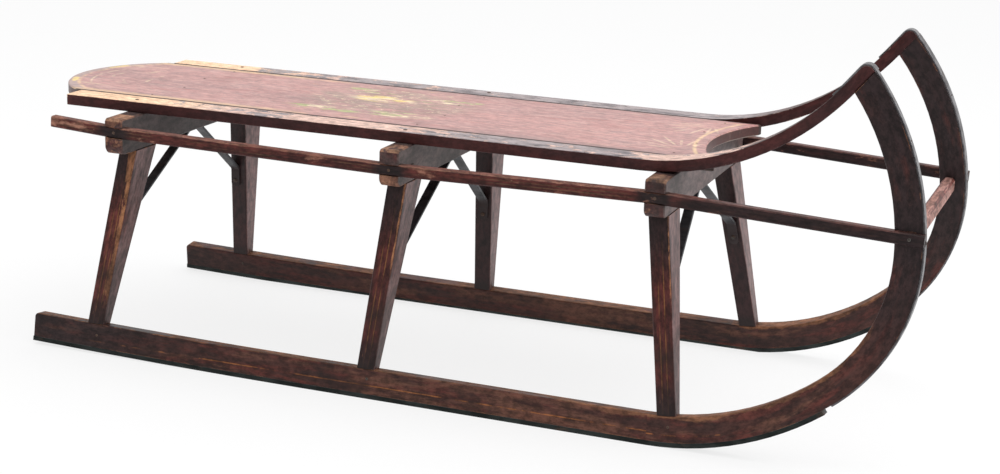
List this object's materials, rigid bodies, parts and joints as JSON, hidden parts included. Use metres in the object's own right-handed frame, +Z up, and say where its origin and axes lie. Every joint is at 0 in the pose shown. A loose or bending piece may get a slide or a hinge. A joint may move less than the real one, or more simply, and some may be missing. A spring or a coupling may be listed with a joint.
{
  "type": "wooden sled",
  "caption": "Child's wooden coasting sled: plank deck on splayed trestles over bent wooden runners with iron shoes, side rails and upswept noses.",
  "frame": {"origin": "on the ground, below the middle of the overall length, on the centre plane", "axes": "+X forward towards the upswept noses, +Y to the rider's left, +Z up"},
  "size_m": [1.1339, 0.4044, 0.4425],
  "materials": {
    "deck_paint": "worn rose-red paint on a plank, thin yellow lining",
    "top_rail_paint": "maroon sides and worn blue-black top",
    "runner_paint": "worn dark maroon paint on bent wood",
    "post_paint": "worn maroon paint with thin yellow lining",
    "beam_wood": "dull grey-brown wood with bare ends",
    "side_rail_paint": "worn red paint, lined",
    "bar_wood": "bare worn wood with red traces",
    "shoe_iron": "dark worn iron",
    "strap_iron": "grey worn iron",
    "brace_iron": "blackened iron"
  },
  "bodies": {
    "root": {"deck_board": "deck_paint", "top_rail_right": "top_rail_paint", "runner_right": "runner_paint", "runner_shoe_right": "shoe_iron", "nose_strap_right": "strap_iron", "side_rail_right": "side_rail_paint", "post_rear_right": "post_paint", "post_middle_right": "post_paint", "post_front_right": "post_paint", "top_rail_left": "top_rail_paint", "runner_left": "runner_paint", "runner_shoe_left": "shoe_iron", "nose_strap_left": "strap_iron", "side_rail_left": "side_rail_paint", "post_rear_left": "post_paint", "post_middle_left": "post_paint", "post_front_left": "post_paint", "cross_beam_rear": "beam_wood", "brace_rear": "brace_iron", "cross_beam_middle": "beam_wood", "brace_middle": "brace_iron", "cross_beam_front": "beam_wood", "brace_front": "brace_iron", "front_bar": "bar_wood"}
  },
  "joints": []
}
